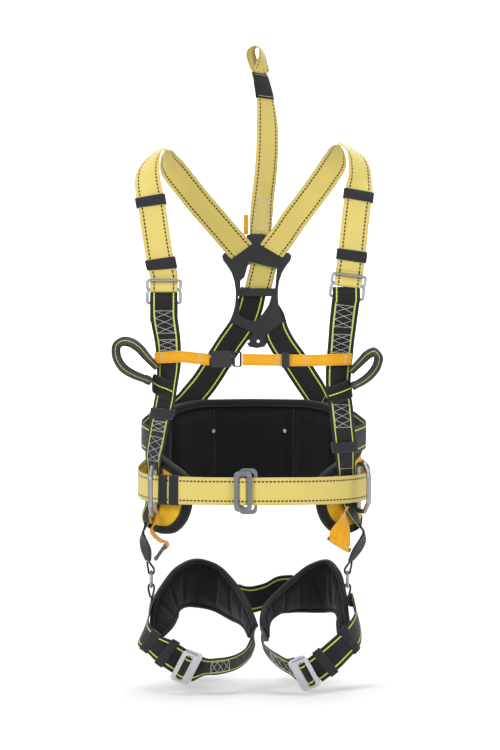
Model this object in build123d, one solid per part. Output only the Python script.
"""Full-body work-positioning harness: sewn webbing, pads, metal fittings.

Millimetres. +Z is up along the wearer and -Y is the wearer's front. "left" and
"right" are as seen from the front, so left pieces lie at -X. The pieces are
modelled in place, then all moved by SHIFT. Each is written to its own STEP.
"""
from build123d import *
import os
import numpy as np

SHIFT = (10.7124, -5.56407, 329.4)  # puts the bottom centre of the harness at the origin
SIDES = ("left", "right")

# ---- webbing
WEB_W, WEB_T = 45.0, 1.8            # main webbing width and thickness
EXT_T, EXT_EYE_T = 3.8, 3.0         # dorsal extension and its end eye
STERNAL_W, STERNAL_T = 30.0, 2.6    # sternal loops
CHEST_W, CHEST_T = 19.0, 1.5        # chest strap
HANGER_T = 2.4                      # hip hangers
EYE_W, EYE_T = 10.0, 2.0            # narrow loops round the hip rings
TOOL_TAB_T = 1.8

# ---- pads
FOAM_T, COVER_T = 12.5, 1.3         # waist pad foam and outer fabric
BIND_T, BIND_H = 15.6, 4.8          # binding, through the pad and along Z
LEG_PAD_T = 8.0
RIVET_D, RIVET_H = 7.0, 1.2

# ---- metal
PLATE_T, PLATE_Y = 4.0, 115.0       # dorsal plate thickness and mid-plane
SLOT_GAP_T, SLOT_GAP_W = 1.4, 2.0   # total play round the webbing in the plate
ROD, ADJ_W = 5.0, 54.0              # shoulder adjuster rod diameter and width
ADJ_TOP, ADJ_LOW = 15.0, 22.0       # its reach above and below the middle bar
D_ROD, D_H, D_R = 8.0, 77.0, 46.0   # side D ring rod, height, reach
RING_R, RING_ROD = 13.0, 4.2        # hip ring centre-line radius, rod diameter
TOOL_BAR_D = 7.0

# ---- section spacing along a ribbon
SAMPLE_STEP = 2.0                   # centre-line sampling
GAP_PER_STEP = 3.2                  # longest gap between sections, in steps
MIN_COSINE = 0.975                  # largest turn between sections


# ------------------------------------------------------------------ helpers
def unit(vector):
    vector = np.asarray(vector, float)
    return vector / np.linalg.norm(vector)


def vec(point):
    return Vector(*[float(value) for value in point])


def centre_line(stations):
    """Smooth cubic through the stations, spaced by chord length.

    Returns arrays of centres, tangents, across directions, normals and widths.
    """
    spans = np.linalg.norm(np.diff(stations[:, :3], axis=0), axis=1)
    along = np.concatenate([[0.0], np.cumsum(spans)])
    count = len(stations)
    slopes = np.zeros_like(stations)
    for i in range(1, count - 1):
        before = (stations[i] - stations[i - 1]) / spans[i - 1]
        after = (stations[i + 1] - stations[i]) / spans[i]
        slopes[i] = (before * spans[i] + after * spans[i - 1]) / (spans[i] + spans[i - 1])
    slopes[0] = 1.5 * (stations[1] - stations[0]) / spans[0] - 0.5 * slopes[1]
    slopes[-1] = 1.5 * (stations[-1] - stations[-2]) / spans[-1] - 0.5 * slopes[-2]

    samples, tangents = [], []
    for place in np.linspace(0.0, along[-1], int(round(along[-1] / SAMPLE_STEP)) + 1):
        i = int(min(max(np.searchsorted(along, place) - 1, 0), count - 2))
        span = spans[i]
        s = (place - along[i]) / span
        start, end = stations[i], stations[i + 1]
        slope_in, slope_out = span * slopes[i], span * slopes[i + 1]
        samples.append((2 * s**3 - 3 * s**2 + 1) * start + (s**3 - 2 * s**2 + s) * slope_in
                       + (-2 * s**3 + 3 * s**2) * end + (s**3 - s**2) * slope_out)
        tangent = ((6 * s**2 - 6 * s) * start + (3 * s**2 - 4 * s + 1) * slope_in
                   + (6 * s - 6 * s**2) * end + (3 * s**2 - 2 * s) * slope_out)
        tangents.append(unit(tangent[:3]))
    samples, tangents = np.array(samples), np.array(tangents)
    across = samples[:, 3:6]
    across = across / np.linalg.norm(across, axis=1)[:, None]
    normals = np.cross(tangents, across)
    normals = normals / np.linalg.norm(normals, axis=1)[:, None]
    return samples[:, :3], tangents, across, normals, samples[:, 6]


def ribbon(stations, thick, step, width=WEB_W, extra=0.0, near_y=None):
    """Flat webbing lofted along stations (x, y, z, across x, y, z[, width]).

    `width` serves tables without a width column; `extra` is added to the width.
    Sections are closer where the webbing turns or twists. `near_y` keeps only
    the sections between two y values.
    """
    stations = np.asarray(stations, float)
    if stations.shape[1] == 6:
        stations = np.column_stack([stations, np.full(len(stations), width)])
    centres, tangents, across, normals, widths = centre_line(stations)
    chosen = [0]
    for i in range(1, len(centres)):
        j = chosen[-1]
        far = np.linalg.norm(centres[i] - centres[j]) > GAP_PER_STEP * step
        cosine = min(tangents[i].dot(tangents[j]), normals[i].dot(normals[j]),
                     across[i].dot(across[j]))
        if far or cosine < MIN_COSINE or i == len(centres) - 1:
            chosen.append(i)
    if near_y:
        chosen = [i for i in chosen if near_y[0] < centres[i][1] < near_y[1]]
    wires = []
    for i in chosen:
        side = across[i] * ((widths[i] + extra) / 2)
        up = normals[i] * (thick / 2)
        centre = centres[i]
        wires.append(Wire.make_polygon(
            [vec(centre + side + up), vec(centre - side + up),
             vec(centre - side - up), vec(centre + side - up)], close=True))
    return Solid.make_loft(wires, ruled=True)


def put(shape, frame):
    """Move a piece modelled at the origin into a frame (origin, x axis, z axis)."""
    return shape.moved(Plane(origin=frame[:3], x_dir=frame[3:6], z_dir=frame[6:9]).location)


def slab(width, height, thick, radius=0.0):
    """Plate centred on the origin, its corners rounded to radius."""
    outline = RectangleRounded(width, height, radius) if radius else Rectangle(width, height)
    return extrude(outline, amount=thick).moved(Location((0, 0, -thick / 2)))


def block(size, x=0.0, y=0.0, z=0.0):
    return Box(*size).moved(Location((x, y, z)))


def rod_loop(points, bend, diameter):
    """Closed bent-rod frame: round section swept round a filleted outline."""
    wire = FilletPolyline(*points, radius=bend, close=True)
    section = Plane(origin=wire @ 0, z_dir=wire % 0) * Circle(diameter / 2)
    return sweep(section, path=wire)


def bar(start, end, diameter):
    """Round bar between two points."""
    start, end = np.array(start, float), np.array(end, float)
    run = end - start
    side = unit(np.cross(run, [0.3, 0.5, 0.8]))     # any direction square to the bar
    plane = Plane(origin=tuple(start), x_dir=tuple(side), z_dir=tuple(unit(run)))
    return extrude(plane * Circle(diameter / 2), amount=float(np.linalg.norm(run)))


def band(width, height, length, wall):
    """Flat tube, width x height clear, open along y."""
    return Box(width + 2 * wall, length, height + 2 * wall) - Box(width, length + 2, height)


def save(name, *shapes):
    """Write one piece; several solids go together as a compound."""
    solids = [solid for shape in shapes for solid in shape.solids()]
    piece = solids[0] if len(solids) == 1 else Compound(children=solids)
    export_step(piece.moved(Location(SHIFT)), "parts/%s.step" % name)


os.makedirs("parts", exist_ok=True)

# Station tables below hold, per station: centre x, y, z, the direction across
# the webbing x, y, z and, where it varies, the width.
# Frames hold: origin x, y, z, x axis x, y, z, z axis x, y, z.

# ------------------------------------------------------------------ shoulder straps
# From the adjuster in front, over the shoulder, to the dorsal plate.
SHOULDER = {
    "left": [
        (-146.47, -94.11, 344.67, 1, 0, 0), (-151.11, -97, 364.96, 0.99, 0, 0.12),
        (-156.28, -93.5, 391.95, 0.99, 0, 0.16), (-161.38, -88, 424.41, 0.99, 0, 0.15),
        (-165.53, -82, 452.1, 0.99, 0, 0.13), (-170.56, -75, 477.9, 0.99, 0, 0.17),
        (-174.21, -66, 501.1, 0.95, -0.26, 0.15), (-174.39, -56, 522.01, 0.86, -0.49, 0.13),
        (-170.45, -46, 535.87, 0.7, -0.72, 0.06), (-164.14, -37, 546.41, 0.47, -0.88, -0.04),
        (-155.9, -28, 555.41, 0.2, -0.97, -0.15), (-146.02, -15, 560.61, 0.04, -0.97, -0.22),
        (-145.64, 10, 554.11, 0.46, -0.87, 0.16), (-142.76, 36, 540.38, 0.67, -0.56, 0.49),
        (-133.24, 54, 527.62, 0.75, -0.18, 0.64), (-114.62, 71, 504.82, 0.76, 0, 0.65),
        (-90.95, 86, 475.89, 0.78, 0, 0.63), (-63.93, 100, 445.3, 0.78, 0, 0.63),
        (-38.39, 109, 415.94, 0.78, 0, 0.63), (-24.89, 112.2, 400.97, 0.78, 0, 0.62),
        (-14.38, 119.5, 390.37, 0.84, 0, 0.54), (-1.51, 122.9, 377.24, 0.88, 0, 0.48),
    ],
    "right": [
        (155.23, -94.14, 352.94, -0.99, 0, 0.13), (157.78, -97, 371.86, -0.99, 0, 0.15),
        (161.02, -93.5, 400.9, -0.99, 0, 0.13), (164.67, -88, 433.78, -0.99, 0, 0.13),
        (168.2, -82, 460.99, -0.99, 0, 0.17), (171.45, -75, 484.44, -0.98, 0, 0.17),
        (173.5, -66, 506.42, -0.89, -0.45, 0.09), (172.81, -56, 528.17, -0.82, -0.56, 0.07),
        (168.9, -46, 543.03, -0.68, -0.73, 0), (162.37, -37, 553.09, -0.44, -0.89, -0.08),
        (151.76, -28, 562.11, -0.16, -0.97, -0.19), (140.5, -15, 569.56, 0.01, -0.97, -0.24),
        (140.67, 10, 562.21, -0.5, -0.85, 0.18), (138.6, 36, 547.94, -0.75, -0.4, 0.52),
        (129.46, 54, 532.68, -0.79, 0, 0.62), (113.67, 71, 509.99, -0.79, 0, 0.62),
        (93.02, 86, 482.43, -0.78, 0, 0.63), (67.76, 100, 449.49, -0.78, 0, 0.63),
        (46.54, 109, 418.33, -0.78, 0, 0.63), (34.68, 112.2, 403.54, -0.81, 0, 0.59),
        (23.34, 117.5, 387.7, -0.92, 0, 0.39), (17.1, 120.2, 373.34, -0.97, 0, 0.24),
        (11.95, 120.5, 353.54, -0.97, 0, 0.24), (5.78, 120.5, 328.24, -0.99, 0, 0.15),
    ],
}
# Second ply behind the front part of the shoulder strap.
SHOULDER_TAIL = {
    "left": [
        (-146.47, -91.52, 344.47, 1, 0, 0), (-151.11, -94.4, 364.92, 0.99, 0, 0.12),
        (-156.22, -90.93, 391.57, 0.99, 0, 0.16), (-161.31, -85.45, 423.93, 0.99, 0, 0.15),
        (-165.46, -79.47, 451.5, 0.99, 0, 0.13), (-170.42, -72.52, 477.12, 0.99, 0, 0.17),
    ],
    "right": [
        (155.21, -91.54, 352.74, -0.99, 0, 0.13), (157.77, -94.4, 371.83, -0.99, 0, 0.15),
        (160.97, -90.93, 400.53, -0.99, 0, 0.13), (164.61, -85.45, 433.29, -0.99, 0, 0.13),
        (168.09, -79.48, 460.36, -0.99, 0, 0.17), (171.3, -72.55, 483.59, -0.98, 0, 0.17),
    ],
}
# Turn of webbing round the low bar of the adjuster.
SHOULDER_ROLL = {
    "left": [
        (-146.47, -94.21, 343.48, 1, 0, 0), (-146.47, -94.56, 338.49, 1, 0, 0),
        (-146.47, -96.76, 334.15, 1, 0, 0), (-146.47, -100.55, 330.75, 1, 0, 0),
        (-146.47, -102.72, 327.51, 1, 0, 0), (-146.47, -103.44, 324.16, 1, 0, 0),
        (-146.47, -102.52, 321.27, 1, 0, 0), (-146.47, -99.82, 319.9, 1, 0, 0),
        (-146.47, -96.93, 320.82, 1, 0, 0), (-146.47, -95.56, 323.52, 1, 0, 0),
        (-146.47, -93.52, 328.37, 1, 0, 0), (-146.47, -92.31, 335.3, 1, 0, 0),
        (-146.47, -91.62, 343.27, 1, 0, 0),
    ],
    "right": [
        (155.07, -94.23, 351.76, -0.99, 0, 0.13), (154.41, -94.58, 346.81, -0.99, 0, 0.13),
        (153.84, -96.78, 342.51, -0.99, 0, 0.13), (153.39, -100.56, 339.13, -0.99, 0, 0.13),
        (152.96, -102.72, 335.92, -0.99, 0, 0.13), (152.52, -103.44, 332.59, -0.99, 0, 0.13),
        (152.14, -102.51, 329.74, -0.99, 0, 0.13), (151.96, -99.81, 328.38, -0.99, 0, 0.13),
        (152.08, -96.93, 329.3, -0.99, 0, 0.13), (152.44, -95.56, 331.97, -0.99, 0, 0.13),
        (153.08, -93.52, 336.79, -0.99, 0, 0.13), (153.99, -92.32, 343.65, -0.99, 0, 0.13),
        (155.05, -91.64, 351.55, -0.99, 0, 0.13),
    ],
}

for side in SIDES:
    save("shoulder_strap_" + side,
         ribbon(SHOULDER[side], WEB_T, 7.0),
         ribbon(SHOULDER_TAIL[side], WEB_T, 8.0))
    save("shoulder_roll_" + side, ribbon(SHOULDER_ROLL[side], WEB_T, 2.0))

# ------------------------------------------------------------------ front straps
# A turn at the adjuster, then down the chest and round to the hip.
FRONT = {
    "left": [
        (-146.47, -101.08, 271.8, 1, 0, 0, 45), (-146.47, -99.52, 283.71, 1, 0, 0, 45),
        (-146.47, -97.86, 295.62, 1, 0, 0, 45), (-146.47, -97.33, 301.59, 1, 0, 0, 45),
        (-146.47, -98.25, 304.48, 1, 0, 0, 45), (-146.47, -100.95, 305.85, 1, 0, 0, 45),
        (-146.47, -103.83, 304.93, 1, 0, 0, 45), (-146.47, -105.2, 302.23, 1, 0, 0, 45),
        (-146.47, -105.21, 295.21, 1, 0, 0, 45), (-146.47, -104.14, 286.09, 1, 0, 0, 45),
        (-139.46, -110, 233.58, 0.94, -0.35, 0, 45),
        (-138.26, -112, 200.38, 0.88, -0.46, -0.04, 45),
        (-140.88, -111, 168, 0.78, -0.62, -0.04, 45),
        (-145.45, -105.5, 139.6, 0.78, -0.62, -0.07, 45),
        (-153.48, -94.5, 106.96, 0.72, -0.69, -0.07, 45),
        (-159.61, -79, 75.63, 0.7, -0.7, -0.15, 45),
        (-165.11, -60, 48.03, 0.63, -0.77, -0.11, 45),
        (-164.7, -46.6, 35, 0.58, -0.82, 0, 45), (-164.9, -46, 20, 0.58, -0.82, 0, 45),
        (-165.8, -44.6, -3, 0.58, -0.81, 0, 45), (-167.6, -42, -28, 0.6, -0.8, 0, 43),
        (-176.2, -33.5, -50, 0.52, -0.85, -0.03, 38), (-179.5, -36, -70, 0, -1, 0, 32),
    ],
    "right": [
        (145.6, -101.02, 280.7, -0.99, 0, 0.13, 45), (147.17, -99.47, 292.51, -0.99, 0, 0.13, 45),
        (148.75, -97.83, 304.31, -0.99, 0, 0.13, 45), (149.54, -97.3, 310.24, -0.99, 0, 0.13, 45),
        (149.92, -98.23, 313.09, -0.99, 0, 0.13, 45),
        (150.1, -100.93, 314.45, -0.99, 0, 0.13, 45),
        (149.98, -103.81, 313.53, -0.99, 0, 0.13, 45),
        (149.62, -105.18, 310.85, -0.99, 0, 0.13, 45),
        (148.69, -105.18, 303.89, -0.99, 0, 0.13, 45),
        (147.49, -104.1, 294.86, -0.99, 0, 0.13, 45),
        (140.55, -110, 233.58, -0.96, -0.29, 0, 45), (137.4, -112, 199.57, -0.95, -0.31, 0, 45),
        (136.14, -111, 163.95, -0.91, -0.42, 0, 45), (140.34, -107, 135.57, -0.9, -0.43, 0.04, 45),
        (143.53, -100, 105.85, -0.87, -0.49, 0.02, 45),
        (147.17, -90, 75.12, -0.86, -0.51, -0.04, 45),
        (149.27, -78, 48.25, -0.76, -0.65, -0.05, 45),
        (150.8, -63.2, 22, -0.7, -0.71, 0, 43), (151.9, -61.7, -3, -0.7, -0.71, 0, 41.5),
        (157.3, -57.3, -28, -0.62, -0.78, 0, 43), (166.5, -49.5, -50, -0.41, -0.91, 0, 38),
        (177.5, -37, -70, 0, -1, 0, 32),
    ],
}

for side in SIDES:
    save("front_strap_" + side, ribbon(FRONT[side], WEB_T, 2.6))

# ------------------------------------------------------------------ back straps
# From the dorsal plate down the back and round the waist to the front straps.
BACK = {
    "left": [
        (-0.32, 118.2, 332.87, 0.99, 0, -0.17), (-3.4, 118.2, 315.73, 0.98, 0, -0.21),
        (-9.4, 117.9, 293.43, 0.96, 0, -0.28), (-19.51, 116, 271.11, 0.91, 0, -0.42),
        (-28.06, 112, 257.67, 0.89, 0, -0.47), (-38.73, 108.2, 242.98, 0.89, 0, -0.46),
        (-61.32, 103, 207.63, 0.86, 0, -0.51), (-92.28, 101, 162.38, 0.78, 0, -0.62),
        (-127, 95.5, 128, 0.25, 0.1, -0.96), (-156, 73, 111, 0.15, 0.1, -0.98),
        (-177, 39, 97, 0.05, 0.2, -0.98), (-187, 5, 87, 0, 0.2, -0.98),
        (-180, -30, 82, -0.12, 0.28, -0.95), (-166.8, -55.5, 74.5, -0.18, 0.2, -0.96),
    ],
    "right": [
        (26.38, 123, 291.42, -0.61, 0, -0.79), (35.35, 118.6, 276.73, -0.67, 0, -0.74),
        (38.53, 112, 258.01, -0.85, 0, -0.53), (45.59, 108.2, 243.07, -0.86, 0, -0.51),
        (70.04, 103, 207.21, -0.84, 0.09, -0.53), (99.02, 101, 162.8, -0.77, 0.21, -0.61),
        (127, 95.5, 124, -0.25, 0.1, -0.96), (156, 73, 108, -0.15, 0.1, -0.98),
        (177, 39, 95, -0.05, 0.2, -0.98), (186.5, 5, 86, 0, 0.25, -0.97),
        (174, -32, 80, 0.12, 0.28, -0.95), (157, -66.5, 75.5, 0.25, 0.2, -0.95),
    ],
}

for side in SIDES:
    save("back_strap_" + side, ribbon(BACK[side], WEB_T, 7.0))

# ------------------------------------------------------------------ dorsal extension
EXTENSION = [
    (13.25, 121.8, 412.37, 1, 0, 0, 37), (11.53, 121.2, 426.92, 1, 0, 0, 37.5),
    (12.22, 122.5, 447.59, 0.98, 0.21, 0, 40), (14.98, 126, 485.6, 0.87, 0.49, 0, 45),
    (19.64, 129, 525.36, 0.86, 0.5, 0, 45), (22.92, 131, 569.9, 0.86, 0.5, 0, 45),
    (23.09, 131, 611.51, 0.83, 0.55, 0, 45), (20.33, 130, 653.19, 0.7, 0.72, 0, 45),
    (15.34, 129, 681.79, 0.63, 0.78, 0, 45), (9.15, 128, 704.87, 0.58, 0.81, 0, 45),
]
EXTENSION_EYE = [
    (7.76, 124.5, 707.69, 0.62, 0.78, 0, 44), (0.72, 123, 718.83, 0.5, 0.86, 0.05, 42),
    (-4.94, 122, 732.43, 0.42, 0.9, 0.1, 40), (-4.26, 124, 743.85, 0.35, 0.92, 0.15, 38),
    (3.65, 128, 750.07, 0.25, 0.96, 0.1, 38), (11.57, 132, 745.8, 0.2, 0.98, 0, 38),
    (15.02, 133, 734.75, 0.3, 0.95, 0, 40), (14.33, 132.5, 721.78, 0.45, 0.89, 0, 42),
    (12.09, 131.5, 708.58, 0.62, 0.78, 0, 44),
]
SLEEVE = [
    (19.39, 129.79, 659.95, 0.68, 0.74, 0), (17.4, 129.38, 671.82, 0.65, 0.76, 0),
    (14.93, 128.93, 683.59, 0.62, 0.78, 0), (11.91, 128.43, 695.22, 0.6, 0.8, 0),
    (9.71, 128.09, 702.94, 0.58, 0.81, 0),
]
SLEEVE_CORE = [                     # opening, longer than the sleeve at both ends
    (20.23, 129.98, 653.99, 0.69, 0.72, 0), (18.45, 129.59, 665.89, 0.66, 0.75, 0),
    (16.23, 129.16, 677.72, 0.64, 0.77, 0), (13.48, 128.69, 689.42, 0.61, 0.79, 0),
    (10.27, 128.17, 701.01, 0.59, 0.81, 0), (9.15, 128, 704.87, 0.58, 0.81, 0),
]
SLEEVE_GAP_T, SLEEVE_GAP_W = 0.8, 1.4       # total play in thickness and width
SLEEVE_WALL_T, SLEEVE_WALL_W = 0.9, 1.0     # wall over the faces and at the edges

save("extension_strap",
     ribbon(EXTENSION, EXT_T, 8.0) + ribbon(EXTENSION_EYE, EXT_EYE_T, 3.0))
save("extension_sleeve",
     ribbon(SLEEVE, EXT_T + 2 * SLEEVE_WALL_T + SLEEVE_GAP_T, 4.0,
            extra=SLEEVE_GAP_W + 2 * SLEEVE_WALL_W)
     - ribbon(SLEEVE_CORE, EXT_T + SLEEVE_GAP_T, 4.0, extra=SLEEVE_GAP_W))

# ------------------------------------------------------------------ waist belt
BELT = [
    (-6.74, -124.92, -3, 0, 0, 1), (13.46, -124.7, -3, 0, 0, 1),
    (40.13, -122.27, -3, 0, 0, 1), (66.01, -117.46, -2.99, 0, 0, 1),
    (96.5, -108.25, -2.94, 0, 0, 1), (129.14, -92.89, -2.67, -0.01, -0.01, 1),
    (158.1, -71.7, -1.78, -0.03, -0.03, 1), (181.36, -42.75, 0.78, -0.05, -0.09, 0.99),
    (192.27, -10.89, 5.85, -0.03, -0.19, 0.98), (190.07, 21.71, 14.01, 0.07, -0.27, 0.96),
    (174.92, 52.83, 25.05, 0.18, -0.26, 0.95), (147.85, 80.35, 37.77, 0.24, -0.18, 0.95),
    (110.7, 102.39, 50.15, 0.22, -0.1, 0.97), (66.01, 117.46, 59.8, 0.15, -0.04, 0.99),
    (16.82, 124.52, 64.66, 0.04, 0, 1), (-33.51, 123.1, 63.67, -0.08, -0.01, 1),
    (-81.57, 113.29, 57.03, -0.18, -0.05, 0.98), (-124.06, 95.76, 46.21, -0.23, -0.13, 0.96),
    (-158.1, 71.7, 33.45, -0.23, -0.21, 0.95), (-181.36, 42.75, 21.1, -0.15, -0.27, 0.95),
    (-192.27, 10.89, 10.94, -0.03, -0.25, 0.97), (-190.07, -21.71, 3.83, 0.04, -0.16, 0.99),
    (-176.31, -50.84, -0.11, 0.05, -0.07, 1), (-156.14, -73.47, -1.88, 0.03, -0.03, 1),
    (-129.14, -92.89, -2.67, 0.01, -0.01, 1), (-96.5, -108.25, -2.94, 0, 0, 1),
    (-66.01, -117.46, -2.99, 0, 0, 1), (-40.13, -122.27, -3, 0, 0, 1),
    (-24.52, -123.99, -3, 0, 0, 1),
]
BELT_TAIL = [
    (-27.21, -121.54, -3, 0, 0, 1), (-49.38, -118.62, -3, 0, 0, 1),
    (-80.64, -111.29, -2.96, 0, 0, 1), (-109.44, -100.59, -2.84, 0.01, 0, 1),
    (-134.92, -86.83, -2.49, 0.02, -0.01, 1), (-151.37, -74.76, -1.95, 0.03, -0.02, 1),
]

save("waist_belt", ribbon(BELT, WEB_T, 5.0), ribbon(BELT_TAIL, WEB_T, 5.0))

# ------------------------------------------------------------------ waist pad
# Left half, from its front end to the middle of the back. Columns: foam x, y;
# cover x, y; binding x, y; pad mid z, pad height; top and low binding z.
PAD_HALF = [
    (-109.4, -78.29, -114.32, -84.15, -109.81, -79.09, -11, 50, 18.2, -40.2),
    (-116.08, -74.74, -121.29, -80.34, -116.52, -75.53, -15.88, 70.25, 23.45, -55.2),
    (-124.48, -69.7, -130.07, -74.92, -124.96, -70.46, -17.54, 87.58, 30.45, -65.53),
    (-134.12, -62.92, -140.15, -67.63, -134.67, -63.63, -17.67, 100.67, 36.87, -72.2),
    (-147.4, -51.1, -154.02, -54.92, -148.05, -51.72, -13.4, 110.8, 46.2, -73),
    (-159.94, -34.95, -167.12, -37.57, -160.71, -35.42, -7.63, 116.59, 54.87, -70.12),
    (-167.61, -17.75, -175.15, -19.08, -168.48, -18, -1, 120.67, 63.53, -65.53),
    (-170.2, 0, -177.85, 0, -171.1, 0, 6, 124, 72.2, -60.2),
    (-167.61, 17.75, -175.15, 19.08, -168.48, 18, 15.67, 131.33, 85.53, -54.2),
    (-159.94, 34.95, -167.12, 37.57, -160.71, 35.42, 28, 144, 104.2, -48.2),
    (-147.4, 51.1, -154.02, 54.93, -148.05, 51.72, 39.5, 155, 121.2, -42.2),
    (-130.38, 65.69, -136.24, 70.61, -130.9, 66.42, 47.42, 160.17, 131.7, -36.87),
    (-109.4, 78.29, -114.32, 84.15, -109.81, 79.09, 52.67, 160, 136.87, -31.53),
    (-85.1, 88.51, -88.92, 95.13, -85.39, 89.36, 57, 158, 140.2, -26.2),
    (-44.05, 98.72, -46.03, 106.11, -44.19, 99.61, 58.25, 156.5, 140.7, -24.2),
    (0, 102.2, 0, 109.85, 0, 103.1, 59.5, 155, 141.2, -22.2),
]
RIVETS = [                          # centre x, y, z, axis x, y, z
    (-67.63, 85.86, 89.55, 0.26, -0.96, 0),
    (54.39, 88.98, 89.55, -0.21, -0.98, 0),
]


def pad_stations(xs, ys, zs, heights):
    """Upright stations of the left half, followed by their mirror in x."""
    half = [(x, y, z, 0, 0, 1, height) for x, y, z, height in zip(xs, ys, zs, heights)]
    return half + [(-row[0],) + row[1:] for row in reversed(half[:-1])]


(foam_x, foam_y, cover_x, cover_y, bind_x, bind_y,
 pad_z, pad_h, bind_top_z, bind_low_z) = zip(*PAD_HALF)
bind_h = [BIND_H] * len(PAD_HALF)

save("waist_pad_foam", ribbon(pad_stations(foam_x, foam_y, pad_z, pad_h), FOAM_T, 5.0))
save("waist_pad_cover", ribbon(pad_stations(cover_x, cover_y, pad_z, pad_h), COVER_T, 5.0))
save("waist_pad_binding",
     *[ribbon(pad_stations(bind_x, bind_y, bind_z, bind_h), BIND_T, 5.0)
       for bind_z in (bind_top_z, bind_low_z)])
save("pad_rivets",
     *[Cylinder(RIVET_D / 2, RIVET_H).moved(Plane(origin=row[:3], z_dir=row[3:]).location)
       for row in RIVETS])

# ------------------------------------------------------------------ sternal loops
STERNAL = {
    "left": [
        (-164.92, -121, 205.19, 0.27, 0.93, 0.25), (-174.48, -124, 215.66, 0.32, 0.9, 0.28),
        (-185.68, -126, 228.87, 0.32, 0.88, 0.36), (-199.34, -127, 237.89, 0.19, 0.85, 0.49),
        (-212.22, -127.5, 239.17, -0.12, 0.85, 0.51), (-221.05, -128, 232.88, -0.46, 0.85, 0.26),
        (-222.67, -128, 220.46, -0.53, 0.85, -0.04), (-219.12, -128, 207.89, -0.47, 0.85, -0.24),
        (-210.58, -128, 196.28, -0.35, 0.85, -0.39), (-195.29, -127.5, 186.61, -0.22, 0.88, -0.43),
        (-178.38, -127, 179.52, -0.17, 0.9, -0.4), (-166.33, -126, 174.52, -0.14, 0.93, -0.35),
    ],
    "right": [
        (164.52, -121, 198.73, -0.27, 0.93, 0.26), (174.07, -124, 208.72, -0.3, 0.9, 0.3),
        (183.65, -126, 218.06, -0.27, 0.88, 0.4), (194.08, -127, 222.09, 0.1, 0.85, 0.52),
        (200.48, -128, 214.82, 0.51, 0.85, 0.12), (198.87, -128, 201.93, 0.49, 0.85, -0.19),
        (190.33, -128, 188.22, 0.4, 0.85, -0.34), (177.13, -127.5, 176.46, 0.28, 0.88, -0.39),
        (165.08, -126.5, 169.68, 0.2, 0.9, -0.38), (157.87, -125.5, 166.29, 0.16, 0.93, -0.34),
    ],
}

for side in SIDES:
    save("sternal_loop_" + side, ribbon(STERNAL[side], STERNAL_T, 4.0, STERNAL_W))

# ------------------------------------------------------------------ chest strap
CHEST_LEFT = [
    (-161.66, -105.5, 212.73, 0.05, 0, 1), (-138.46, -115.4, 213.63, 0.03, 0, 1),
    (-117.97, -125, 214.52, -0.04, 0, 1), (-93.83, -122.4, 212.12, 0.05, 0, 1),
    (-71.93, -119.2, 209.88, 0, 0, 1),
]
CHEST_MIDDLE = [
    (-19.26, -119.6, 209.88, 0, 0, 1), (12.73, -119.6, 209.39, 0, 0, 1),
    (58.61, -119.6, 208.75, 0, 0, 1),
]
CHEST_RIGHT = [
    (36.18, -117.3, 208.92, 0, 0, 1), (61.23, -117.3, 208.6, 0, 0, 1),
    (87.9, -117.5, 208.76, 0, 0, 1), (103.15, -121.2, 208.9, 0, 0, 1),
    (115.93, -125.4, 209.2, 0, 0, 1), (137.16, -118.4, 209.89, 0, 0, 1),
    (158.46, -111.5, 210.58, 0, 0, 1),
]

save("chest_strap_left", ribbon(CHEST_LEFT, CHEST_T, 6.0, CHEST_W))
save("chest_strap_middle", ribbon(CHEST_MIDDLE, CHEST_T, 10.0, CHEST_W))
save("chest_strap_right", ribbon(CHEST_RIGHT, CHEST_T, 6.0, CHEST_W))

# ------------------------------------------------------------------ hip hangers and rings
HANGER = {
    "left": [
        (-183, -36, -72.5, 0, -1, 0, 32), (-182.6, -35, -84, 0.35, -0.94, 0, 32),
        (-178.5, -29, -104, 0.62, -0.78, 0, 29), (-175.5, -20, -122.37, 0.5, -0.87, 0, 20),
    ],
    "right": [
        (181.1, -37, -72.5, 0, -1, 0, 32), (179.6, -35, -84, -0.35, -0.94, 0, 32),
        (171, -28, -104, -0.62, -0.78, 0, 29), (160.5, -19, -122.37, -0.5, -0.87, 0, 20),
    ],
}
HANGER_EYE = {                      # loop under the hanger, through the hip ring
    "left": [
        (-176.85, -20, -123.87, 0, 1, 0), (-176.62, -15.33, -130.87, 0, 1, 0),
        (-175.31, -10, -138.87, 0, 1, 0), (-174.37, -10, -143.78, 0, 1, 0),
        (-170.61, -10, -145.57, 0, 1, 0), (-166.85, -10, -143.78, 0, 1, 0),
        (-165.91, -10, -138.87, 0, 1, 0), (-169.82, -15.33, -130.87, 0, 1, 0),
        (-174.15, -20, -123.87, 0, 1, 0),
    ],
    "right": [
        (159.15, -19, -123.87, 0, 1, 0), (154.67, -14.8, -130.87, 0, 1, 0),
        (150.6, -10, -138.87, 0, 1, 0), (151.54, -10, -143.78, 0, 1, 0),
        (155.3, -10, -145.57, 0, 1, 0), (159.06, -10, -143.78, 0, 1, 0),
        (160, -10, -138.87, 0, 1, 0), (161.47, -14.8, -130.87, 0, 1, 0),
        (161.85, -19, -123.87, 0, 1, 0),
    ],
}
RING_FRAME = {
    "left": (-170.612, -10, -153.868, 0, 1, 0, 1, 0, 0),
    "right": (155.299, -10, -153.868, 0, 1, 0, 1, 0, 0),
}

for side in SIDES:
    save("hip_hanger_" + side,
         ribbon(HANGER[side], HANGER_T, 3.0),
         ribbon(HANGER_EYE[side], EYE_T, 2.0, EYE_W))
    save("hip_ring_" + side, put(Torus(RING_R, RING_ROD / 2), RING_FRAME[side]))

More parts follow.
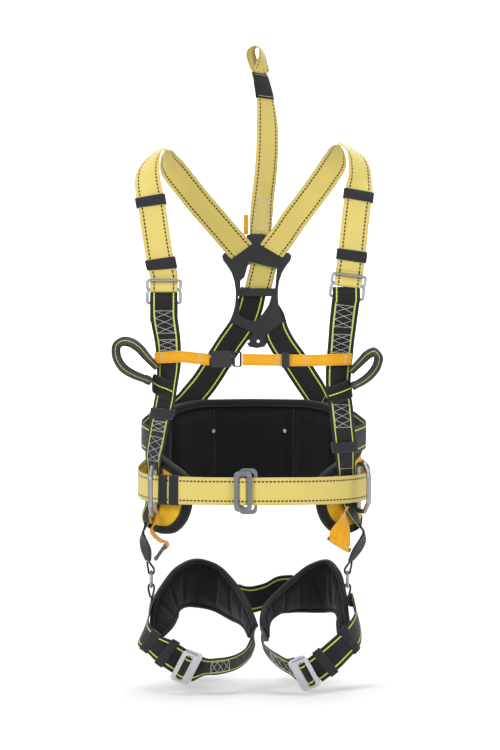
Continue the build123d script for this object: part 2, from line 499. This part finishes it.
# ------------------------------------------------------------------ legs
LEG_PAD = {
    "left": [
        (-160.03, -28, -241.64, 0.84, 0.2, -0.51, 20.48),
        (-153.43, -5, -226.07, 0.84, 0.17, -0.52, 36.34),
        (-147.87, 25, -207.07, 0.61, 0.45, -0.65, 52.93),
        (-139.13, 55, -189.46, 0.29, 0.58, -0.76, 65.57),
        (-122.62, 82, -175.03, 0.08, 0.53, -0.84, 82.34),
        (-101.79, 98, -169.91, -0.08, 0.51, -0.86, 92.02),
        (-70.61, 95, -176.03, -0.07, 0.52, -0.85, 89.77),
        (-38.87, 72, -195.16, 0, 0.55, -0.84, 80.44),
        (-15.49, 36, -216.49, -0.08, 0.65, -0.76, 52.68),
        (-1.76, 0, -242.41, -0.34, 0.61, -0.72, 26.25),
    ],
    "right": [
        (18.46, -5, -244.94, 0.37, 0.57, -0.73, 17.39),
        (19.53, 18, -224.25, 0.4, 0.84, -0.36, 26.08),
        (28.72, 42, -212.58, 0.49, 0.81, -0.34, 42.19),
        (49.29, 70, -199.3, 0.24, 0.73, -0.64, 57.73),
        (73.38, 90, -187.97, 0.08, 0.61, -0.79, 75.47),
        (99.97, 98, -178.61, 0.03, 0.5, -0.86, 93.64),
        (122.81, 92, -174.87, 0.01, 0.47, -0.88, 99.73),
        (138.55, 68, -181.16, -0.03, 0.5, -0.86, 83.28),
        (146.08, 32, -197.8, -0.1, 0.54, -0.84, 55.61),
        (147.42, -5, -224.16, -0.52, 0.59, -0.62, 23.74),
        (148.36, -28, -237.92, -0.72, 0.21, -0.66, 19.33),
    ],
}
LEG_OUTER = {                       # from the buckle round the outside of the thigh
    "left": [
        (-118.41, -90, -282.59, -0.6, 0, -0.8), (-136.92, -89, -270.5, -0.6, 0, -0.8),
        (-164.15, -80, -253.59, -0.51, 0.54, -0.67), (-180.71, -56, -241.91, -0.47, 0.43, -0.77),
        (-178, -22, -225, -0.25, 0.55, -0.8), (-169.5, 14, -197, -0.2, 0.55, -0.81),
    ],
    "right": [
        (96.74, -88.6, -297.41, 0.64, 0, -0.77), (118.31, -89, -281.08, 0.63, 0, -0.78),
        (143.89, -80, -258.9, 0.6, 0.25, -0.76), (162.87, -56, -242.73, 0.49, 0.34, -0.8),
        (172.5, -22, -222, 0.25, 0.55, -0.8), (164, 14, -193, 0.2, 0.55, -0.81),
    ],
}
LEG_BACK = {                        # behind the thigh, outside the leg pad
    "left": [
        (-152.74, 27.78, -209.72, 0.61, 0.45, -0.65), (-144.76, 57.59, -189.63, 0.29, 0.58, -0.76),
        (-127.49, 85.43, -173.3, 0.08, 0.53, -0.84),
        (-103.02, 103.17, -166.71, -0.08, 0.51, -0.86),
        (-67.59, 99.71, -173.36, -0.07, 0.52, -0.85), (-33.96, 75.18, -193.11, 0, 0.55, -0.84),
        (-9.8, 38.14, -215.28, -0.08, 0.65, -0.76),
    ],
    "right": [
        (23.38, 45.14, -212.76, 0.49, 0.81, -0.34), (44.52, 73.4, -197.26, 0.24, 0.73, -0.64),
        (69.87, 94.21, -185.07, 0.08, 0.61, -0.79), (98.95, 103.3, -175.57, 0.03, 0.5, -0.86),
        (126.41, 96.43, -172.44, 0.01, 0.47, -0.88), (144.38, 69.92, -180.26, -0.03, 0.5, -0.86),
        (152.22, 32.85, -197.99, -0.1, 0.54, -0.84),
    ],
}
LEG_INNER = {                       # from the buckle round the inside of the thigh
    "left": [
        (-97.72, -94, -291.87, -0.21, 0, -0.98), (-82.68, -94, -290.48, -0.13, 0.63, -0.77),
        (-57.87, -95, -288.57, -0.04, 0.71, -0.7), (-30.3, -84, -283.31, 0.07, 0.77, -0.63),
        (-9.12, -62, -269.54, 0.15, 0.86, -0.49), (-0.47, -34, -250.9, 0.09, 0.89, -0.44),
    ],
    "right": [
        (72.23, -93, -296.46, 0.26, 0, -0.96), (58.79, -94, -290.65, 0.16, 0.67, -0.72),
        (42.11, -95, -281.58, 0.18, 0.7, -0.69), (27.19, -82, -272.13, 0.16, 0.76, -0.63),
        (14.65, -62, -259.71, 0.11, 0.86, -0.49), (14.38, -36, -247.79, 0.09, 0.9, -0.42),
    ],
}
# Narrow loop through the hip ring from below: x from the loop's centre, z.
LEG_TAB = [
    (-1.35, -183.87), (-3.4, -176.87), (-4.7, -168.87), (-3.76, -163.95), (0, -162.17),
    (3.76, -163.95), (4.7, -168.87), (3.4, -176.87), (1.35, -183.87),
]
LEG_TAB_X = {"left": -170.61, "right": 155.3}
LEG_TAB_Y = -10
SEAT = [
    (-25.37, 86, -192.64, 0.04, 0, -1), (-4.53, 100, -198.2, 0.1, 0, -0.99),
    (17.3, 110, -194, 0, 0, -1), (44.7, 112, -181.35, 0.08, 0, -1),
    (66.97, 113, -179.72, 0, 0, -1),
]

for side in SIDES:
    leg_tab = [(LEG_TAB_X[side] + x, LEG_TAB_Y, z, 0, 1, 0) for x, z in LEG_TAB]
    save("leg_strap_" + side,
         ribbon(LEG_OUTER[side], WEB_T, 7.0),
         ribbon(LEG_BACK[side], WEB_T, 7.0),
         ribbon(LEG_INNER[side], WEB_T, 7.0),
         ribbon(leg_tab, EYE_T, 2.0, EYE_W))
    save("leg_pad_" + side, ribbon(LEG_PAD[side], LEG_PAD_T, 8.0))
save("seat_strap", ribbon(SEAT, WEB_T, 7.0))

# ------------------------------------------------------------------ dorsal plate
# Outlines in the XZ plane: x, z.
PLATE = [
    (5.16, 426.73), (13.9, 426.55), (21.78, 424.84), (22.81, 420.9), (19.38, 416.28),
    (16.3, 411.14), (21.61, 406.68), (34.46, 400.86), (49.87, 396.57), (61.01, 394),
    (64.61, 388.87), (62.89, 381.16), (55.01, 370.88), (48.16, 359.74), (43.71, 346.04),
    (41.65, 332.33), (41.31, 318.63), (42.68, 303.21), (46.45, 289.5), (51.93, 276.65),
    (56.73, 266.37), (54.16, 261.24), (43.02, 256.95), (30.17, 252.5), (22.81, 246.67),
    (21.78, 238.96), (18.18, 233.31), (5.16, 230.91), (-8.2, 233.31), (-11.8, 238.96),
    (-12.83, 246.67), (-20.19, 252.5), (-33.04, 256.95), (-44.18, 261.24), (-46.75, 266.37),
    (-41.95, 276.65), (-36.47, 289.5), (-32.7, 303.21), (-31.33, 318.63), (-31.67, 332.33),
    (-33.73, 346.04), (-38.18, 359.74), (-45.03, 370.88), (-52.92, 381.16), (-54.63, 388.87),
    (-51.03, 394), (-39.9, 396.57), (-24.48, 400.86), (-11.63, 406.68), (-6.32, 411.14),
    (-9.4, 416.28), (-12.83, 420.9), (-11.8, 424.84), (-3.92, 426.55),
]
TOP_WINDOW = [
    (-8.37, 379.44), (39.25, 367.28), (36.17, 333.7), (-23.11, 333.7), (-22.76, 346.89),
    (-16.08, 352.03),
]
LOW_WINDOW = [
    (-26.88, 319.65), (29.66, 319.65), (25.2, 304.92), (14.75, 289.5), (2.93, 277.51),
    (-11.8, 280.08), (-24.48, 287.79),
]
PLATE_HOLES = [(-9.74, 242.73), (7.39, 242.73)]
PLATE_HOLE_R = 2.4
WINDOW_CUT, HOLE_CUT = 30, 20       # cutter lengths, well past the plate
SHOULDER_SLOT_Y = (94.0, 130.0)     # part of the shoulder straps that cuts the plate
BACK_SLOT_STATIONS = 7              # part of the back straps that cuts it


def plate_prism(outline, depth):
    """XZ outline extruded along Y, centred on the plate's mid-plane."""
    wire = Wire.make_polygon([vec((x, 0, z)) for x, z in outline], close=True)
    prism = extrude(make_face(wire), amount=depth, dir=(0, 1, 0))
    return prism.moved(Location((0, PLATE_Y - depth / 2, 0)))


def dorsal_plate():
    plate = plate_prism(PLATE, PLATE_T)
    for window in (TOP_WINDOW, LOW_WINDOW):
        plate -= plate_prism(window, WINDOW_CUT)
    for x, z in PLATE_HOLES:
        hole = Cylinder(PLATE_HOLE_R, HOLE_CUT, rotation=(90, 0, 0))
        plate -= hole.moved(Location((x, PLATE_Y, z)))
    slot_t = WEB_T + SLOT_GAP_T
    for side in SIDES:
        plate -= ribbon(SHOULDER[side], slot_t, 7.0, extra=SLOT_GAP_W, near_y=SHOULDER_SLOT_Y)
    for side in SIDES:
        plate -= ribbon(BACK[side][:BACK_SLOT_STATIONS], slot_t, 7.0, extra=SLOT_GAP_W)
    return max(plate.solids(), key=lambda solid: solid.volume)  # drops loose slivers


save("dorsal_plate", dorsal_plate())

# ------------------------------------------------------------------ shoulder adjusters
ADJ_BEND = 3.0
ADJ_NOTCH = 1.8                     # depth of the V notch in each side
NOTCH_TOP, NOTCH_MID, NOTCH_LOW = 3.5, -1.5, -6.5
ADJ_BAR_INSET = 1.6                 # middle bar end, in from the side rod's centre
ADJUSTER_FRAME = {
    "left": (-146.474, -99.5, 323.84, 1, 0, 0, 0, -0.9968, 0.0802),
    "right": (152.478, -99.5, 332.284, 0.9912, 0, -0.1322, 0.0104, -0.9969, 0.0784),
}


def shoulder_adjuster():
    """Notched rectangular rod loop with a bar across it."""
    x = ADJ_W / 2
    loop = rod_loop([(-x, ADJ_TOP), (-x, NOTCH_TOP), (-x + ADJ_NOTCH, NOTCH_MID),
                     (-x, NOTCH_LOW), (-x, -ADJ_LOW), (x, -ADJ_LOW), (x, NOTCH_LOW),
                     (x - ADJ_NOTCH, NOTCH_MID), (x, NOTCH_TOP), (x, ADJ_TOP)], ADJ_BEND, ROD)
    bar_end = x - ADJ_BAR_INSET
    return loop + bar((-bar_end, 0, 0), (bar_end, 0, 0), ROD)


for side in SIDES:
    save("shoulder_adjuster_" + side, put(shoulder_adjuster(), ADJUSTER_FRAME[side]))

# ------------------------------------------------------------------ side D rings
D_BEND = 7.0
D_CORNER_X, D_CORNER_Y = 18, 16     # sloped corners of the D
D_RING_FRAME = {
    "left": (-162, -60, -4, -0.139, -0.9903, 0, -0.9903, 0.139, 0),
    "right": (171.3, -48.8, 0.5, 0.33, -0.944, 0, -0.944, -0.33, 0),
}


def d_ring():
    y = D_H / 2
    return rod_loop([(0, -y), (0, y), (D_R - D_CORNER_X, y), (D_R, y - D_CORNER_Y),
                     (D_R, -y + D_CORNER_Y), (D_R - D_CORNER_X, -y)], D_BEND, D_ROD)


for side in SIDES:
    save("side_d_ring_" + side, put(d_ring(), D_RING_FRAME[side]))

# ------------------------------------------------------------------ leg and waist buckles
# Slabs: width, height, thickness and, if rounded, corner radius.
LEG_FRAME, LEG_FRAME_HOLE = (30, 62, 3.0, 6.0), (18, 50, 6.0, 3.0)
LEG_TONGUE, LEG_TONGUE_HOLE = (28, 56, 3.2, 5.0), (13, 46, 6.0, 2.5)
LEG_TONGUE_BAR = (3.0, 47, 2.4)
WAIST_FRAME, WAIST_FRAME_HOLE = (30.6, 74, 4.0, 9.0), (20, 60, 8.0, 5.0)
WAIST_TONGUE, WAIST_TONGUE_HOLE = (29, 65, 4.0, 7.0), (14, 49, 8.0, 3.0)
WAIST_TONGUE_BAR = (3.4, 50, 3.0)
LEG_BUCKLE_PLACE = {                # frames of the frame piece and the tongue
    "left": ((-108.287, -103.743, -288.245, 0.9079, 0.16, -0.3874, 0.0002, -0.9244, -0.3813),
             (-112.791, -108, -288.942, 0.9079, 0.16, -0.3874, 0.0002, -0.9244, -0.3813)),
    "right": ((80.4033, -103.711, -298.856, 0.8998, -0.1665, 0.4032, -0.0002, -0.9244, -0.3813),
              (84.8879, -108, -299.475, 0.8998, -0.1665, 0.4032, -0.0002, -0.9244, -0.3813)),
}
WAIST_FRAME_PLACE = (-9.9, -120.4, -3, 1, 0, 0, 0, -1, 0)
WAIST_TONGUE_PLACE = (-18, -130.3, -3, 1, 0, 0, 0, -1, 0)

for side in SIDES:
    frame_place, tongue_place = LEG_BUCKLE_PLACE[side]
    buckle_frame = slab(*LEG_FRAME) - slab(*LEG_FRAME_HOLE)
    save("leg_buckle_frame_" + side, put(buckle_frame, frame_place))
    tongue = slab(*LEG_TONGUE) - slab(*LEG_TONGUE_HOLE) + slab(*LEG_TONGUE_BAR)
    save("leg_buckle_tongue_" + side, put(tongue, tongue_place))

buckle_frame = slab(*WAIST_FRAME) - slab(*WAIST_FRAME_HOLE)
save("waist_buckle_frame", put(buckle_frame, WAIST_FRAME_PLACE))
tongue = slab(*WAIST_TONGUE) - slab(*WAIST_TONGUE_HOLE) + slab(*WAIST_TONGUE_BAR)
save("waist_buckle_tongue", put(tongue, WAIST_TONGUE_PLACE))

# ------------------------------------------------------------------ tool tabs
TOOL_TAB = {
    "left": [
        (-166.29, -76.34, -57.5, -0.14, -0.99, 0, 15), (-169.49, -76.34, -49.5, -0.14, -0.99, 0, 15),
        (-170.59, -76.34, -42.5, -0.14, -0.99, 0, 15), (-168.79, -76.34, -38, -0.14, -0.99, 0, 15),
        (-164.29, -76.34, -36.2, -0.14, -0.99, 0, 15), (-159.79, -76.34, -38, -0.14, -0.99, 0, 15),
        (-157.99, -76.34, -42.5, -0.14, -0.99, 0, 15),
        (-159.69, -76.34, -50.5, -0.14, -0.99, 0, 15),
        (-163.69, -76.34, -59.5, -0.14, -0.99, 0, 15),
        (-167.08, -88, -67.44, -0.2, -0.97, -0.1, 22),
        (-158.86, -90, -79.52, -0.2, -0.97, -0.15, 22),
        (-148.21, -92, -85.57, -0.15, -0.98, -0.15, 20),
    ],
    "right": [
        (152.2, -87.2, -29.5, 0.15, -0.98, 0, 24), (146.9, -88.5, -41.35, -0.2, -0.98, 0, 25),
        (145.17, -87, -57.73, -0.66, -0.71, 0.25, 32),
        (141.47, -90, -72.19, -0.83, -0.36, 0.43, 37),
        (139.44, -92, -84.26, -0.86, -0.1, 0.49, 40),
    ],
}
TOOL_BAR = {                        # ends of the bar below each tab
    "left": [(-142.76, -99, -89.79), (-161.49, -81, -116.19)],
    "right": [(119.59, -92, -79.55), (157.01, -92, -101.19)],
}

for side in SIDES:
    save("tool_tab_bar_" + side, bar(*TOOL_BAR[side], TOOL_BAR_D))
    save("tool_tab_" + side, ribbon(TOOL_TAB[side], TOOL_TAB_T, 4.0))

# ------------------------------------------------------------------ strap keepers
# Flat tubes: clear width, clear height, length, wall.
SHOULDER_KEEPER = (WEB_W + 6.0, 11.0, 16.0, 1.5)
FRONT_KEEPER = (WEB_W + 9.0, 12.0, 14.0, 1.4)
LEG_KEEPER = (WEB_W + 10.0, 11.0, 13.0, 1.6)
SHOULDER_KEEPER_Z, WAIST_KEEPER_Z = -1.3, -1.1      # offset towards the body
WAIST_KEEPER_L, WAIST_KEEPER_WALL = 15.0, 1.4
WAIST_KEEPER_W, WAIST_KEEPER_H = WEB_W + 3.0, 6.8   # clear opening

SHOULDER_KEEPER_FRAME = {
    "upper_left": (-168.761, -77.8168, 468.565, 0.9878, 0.0218, 0.1544, -0.0199, -0.9646, 0.2629),
    "lower_left": (-151.315, -97.0137, 365.911, 0.9917, 0, 0.1287, 0.0005, -1, -0.0042),
    "upper_right": (170.631, -77.1522, 478.015, 0.9836, -0.0341, -0.1772, 0.021, -0.9538, 0.2998),
    "lower_right": (158.574, -96.8701, 378.499, 0.9889, 0, -0.1488, 0.011, -0.9973, 0.0732),
}
FRONT_KEEPER_FRAME = {
    "left": (-149.681, -100.231, 122.065, 0.7457, -0.6626, -0.0702, -0.6663, -0.7416, -0.0782),
    "right": (147.818, -87.1061, 67.9595, 0.8415, 0.5384, 0.045, 0.5266, -0.7988, -0.291),
}
LEG_KEEPER_FRAME = {
    "left": (-141.791, -88.1857, -267.426, 0.604, -0.0644, 0.7944, -0.1519, -0.9878, 0.0354),
    "right": (116.015, -89.2516, -282.902, 0.6281, -0.0077, -0.7781, 0.0476, -0.9977, 0.0483),
}
WAIST_KEEPER_FRAME = {
    "outer": (-148.273, -80.0552, -2.2304, 0.7907, -0.6115, -0.0279, -0.6117, -0.7911, 0.0005),
    "inner": (-130.85, -91.871, -2.641, 0.8559, -0.517, -0.0144, -0.517, -0.856, 0),
}

for place, frame in SHOULDER_KEEPER_FRAME.items():
    keeper = band(*SHOULDER_KEEPER).moved(Location((0, 0, SHOULDER_KEEPER_Z)))
    save("shoulder_keeper_" + place, put(keeper, frame))
for side in SIDES:
    save("front_strap_keeper_" + side, put(band(*FRONT_KEEPER), FRONT_KEEPER_FRAME[side]))
    save("leg_keeper_" + side, put(band(*LEG_KEEPER), LEG_KEEPER_FRAME[side]))
for place, frame in WAIST_KEEPER_FRAME.items():     # open along x, unlike band()
    keeper = (Box(WAIST_KEEPER_L, WAIST_KEEPER_W + 2 * WAIST_KEEPER_WALL,
                  WAIST_KEEPER_H + 2 * WAIST_KEEPER_WALL)
              - Box(WAIST_KEEPER_L + 2, WAIST_KEEPER_W, WAIST_KEEPER_H))
    save("waist_keeper_" + place, put(keeper.moved(Location((0, 0, WAIST_KEEPER_Z))), frame))

# ------------------------------------------------------------------ chest buckle
# All parts share the socket's frame: mouth towards +x, socket centred.
SOCKET_FRAME = (-52.9, -119, 210.6, 1, 0, 0, 0, -1, 0)
SLIDER_FRAME = (50.706, -118.6, 208.916, 1, 0, 0, 0, -1, 0)
SOCKET_L, SOCKET_H, SOCKET_T, SOCKET_CORNER = 34.0, 27.0, 9.4, 4.5
MOUTH_X = SOCKET_L / 2
CAVITY_H, CAVITY_T, CAVITY_X = 19.0, 5.2, 5.0
SIDE_CUT_X = 8.4                    # second cut, through both side walls
PLUG_FRAME, PLUG_HOLE, PLUG_HOLE_X = (15.5, 25.0, 4.6, 3.0), (7.0, 20.4, 9.0, 1.0), 0.6
PLUG_STEM, PRONG, BARB = (24, 5.6, 3.6), (24.0, 2.6, 3.8), (9.0, 5.4, 3.8)
PRONG_Y, BARB_Y = 7.6, 9.6
SLIDER, SLIDER_HOLE = (12.5, 25.0, 8.4, 2.0), (20, 21.0, 6.2)


def chest_socket():
    body = slab(SOCKET_L, SOCKET_H, SOCKET_T, SOCKET_CORNER)
    body -= block((SOCKET_L, CAVITY_H, CAVITY_T), x=CAVITY_X)
    body -= block((SOCKET_L, SOCKET_H + 4, CAVITY_T), x=SIDE_CUT_X)
    return body


def chest_plug():
    """Open frame outside the mouth with a stem reaching into the socket."""
    rails = slab(*PLUG_FRAME) - slab(*PLUG_HOLE).moved(Location((PLUG_HOLE_X, 0, 0)))
    return rails.moved(Location((MOUTH_X + 8.2, 0, 0))) + block(PLUG_STEM, x=MOUTH_X - 11.0)


def chest_prong(sign):
    arm = block(PRONG, x=MOUTH_X - 12.6, y=sign * PRONG_Y)
    barb = block(BARB, x=MOUTH_X - 20.0, y=sign * BARB_Y)
    return arm + barb


save("chest_buckle_socket", put(chest_socket(), SOCKET_FRAME))
save("chest_buckle_plug", put(chest_plug(), SOCKET_FRAME))
for place, sign in (("upper", 1), ("lower", -1)):
    save("chest_buckle_prong_" + place, put(chest_prong(sign), SOCKET_FRAME))
save("chest_strap_slider", put(slab(*SLIDER) - Box(*SLIDER_HOLE), SLIDER_FRAME))
